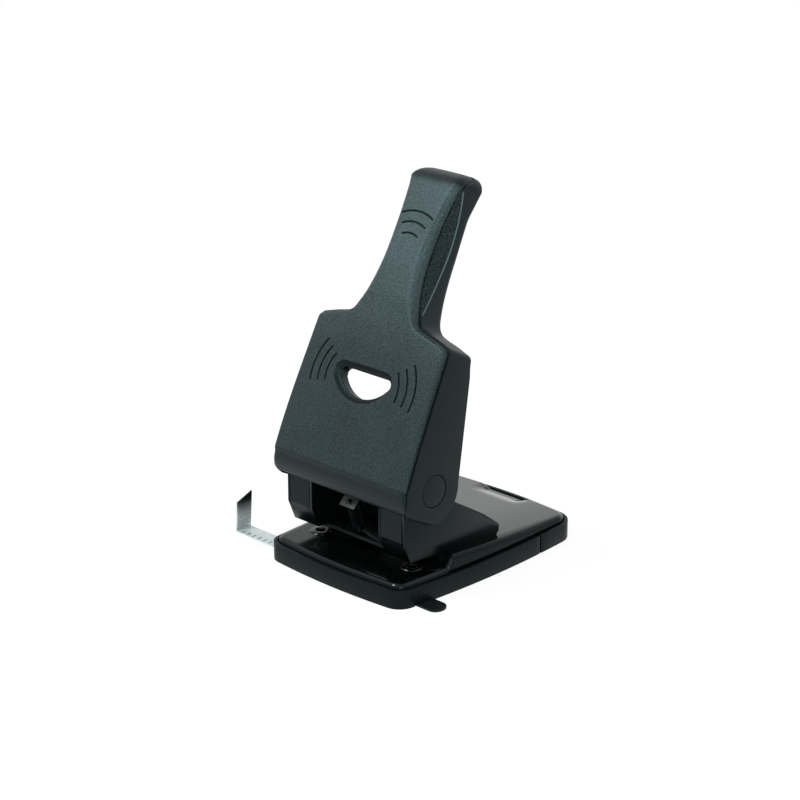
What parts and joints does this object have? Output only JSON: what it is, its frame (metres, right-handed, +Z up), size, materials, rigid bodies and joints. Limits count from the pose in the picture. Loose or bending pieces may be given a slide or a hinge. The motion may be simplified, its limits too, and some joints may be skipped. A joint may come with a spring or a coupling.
{
  "type": "two-hole punch",
  "caption": "Heavy-duty two-hole paper punch: long rear-pressed lever with a window, cam-driven pins in folded towers, deck over a chip drawer, sliding side guide.",
  "frame": {"origin": "on the desk, under the middle of the row of punches, at the underside of the pan", "axes": "+X across the paper to the lock tab's side, +Y away from the paper towards the rear, +Z up"},
  "size_m": [0.1695, 0.1694, 0.2465],
  "materials": {
    "pan_plastic": "fine satin moulded plastic",
    "pad_rubber": "dull rubber",
    "deck_enamel": "gloss black enamel on pressed steel",
    "tower_enamel": "semi-gloss black enamel on folded steel",
    "tool_steel": "ground steel",
    "zinc_steel": "bright zinc plating",
    "bright_steel": "bright nickel plating",
    "spring_steel": "dark drawn wire",
    "cam_steel": "blanked steel",
    "fastener_steel": "plated steel",
    "housing_plastic": "satin moulded plastic",
    "cover_plastic": "fine spark-eroded grain",
    "grip_rubber": "coarse-textured soft inlay",
    "lock_plastic": "smooth black plastic"
  },
  "bodies": {
    "base": {"base_tray": "pan_plastic", "tray_pads": "pad_rubber", "tray_screws": "fastener_steel", "base_plate": "deck_enamel", "dies": "tool_steel", "tower_left": "tower_enamel", "tower_right": "tower_enamel", "cross_plate": "tower_enamel", "tower_rivets": "fastener_steel", "guide_left": "tool_steel", "guide_right": "tool_steel", "guide_channel": "zinc_steel", "pivot_shaft": "tool_steel", "shaft_clips": "spring_steel", "spring_left": "spring_steel", "spring_right": "spring_steel", "return_spring": "spring_steel"},
    "lever": {"spring_hook": "zinc_steel", "cam_left": "cam_steel", "cam_right": "cam_steel", "lever_yoke": "zinc_steel", "yoke_rivets": "fastener_steel", "lever_housing": "housing_plastic", "lever_cover": "cover_plastic", "cover_screws": "fastener_steel", "grip_left": "grip_rubber", "grip_right": "grip_rubber", "cap_left": "housing_plastic", "cap_right": "housing_plastic"},
    "left_punch": {"pin_left": "tool_steel"},
    "right_punch": {"pin_right": "tool_steel"},
    "drawer": {"chip_drawer": "pan_plastic"},
    "side_guide": {"paper_guide": "bright_steel"},
    "lock": {"guide_lock": "lock_plastic"}
  },
  "joints": [
    {"name": "lever_hinge", "type": "hinge", "parent": "base", "child": "lever", "pos_m": [0, 0.001, 0.0695], "axis": [-1, 0, 0], "range_deg": [0, 62], "stiffness_Nm_per_rad": 0.6, "springref_deg": -34.38, "deforming": ["return_spring"]},
    {"name": "left_pin_slide", "type": "slide", "parent": "base", "child": "left_punch", "axis": [0, 0, -1], "range_m": [0, 0.0109], "deforming": ["spring_left"]},
    {"name": "right_pin_slide", "type": "slide", "parent": "base", "child": "right_punch", "axis": [0, 0, -1], "range_m": [0, 0.0109], "deforming": ["spring_right"]},
    {"name": "drawer_slide", "type": "slide", "parent": "base", "child": "drawer", "axis": [0, 1, 0], "range_m": [0, 0.085]},
    {"name": "guide_slide", "type": "slide", "parent": "base", "child": "side_guide", "axis": [-1, 0, 0], "range_m": [-0.024, 0.055]},
    {"name": "lock_slide", "type": "slide", "parent": "base", "child": "lock", "axis": [-1, 0, 0], "range_m": [0, 0.0035]}
  ],
  "couplings": [
    {"joint": "left_pin_slide", "follows": "lever_hinge", "m_per_rad": 0.01},
    {"joint": "right_pin_slide", "follows": "lever_hinge", "m_per_rad": 0.01}
  ]
}
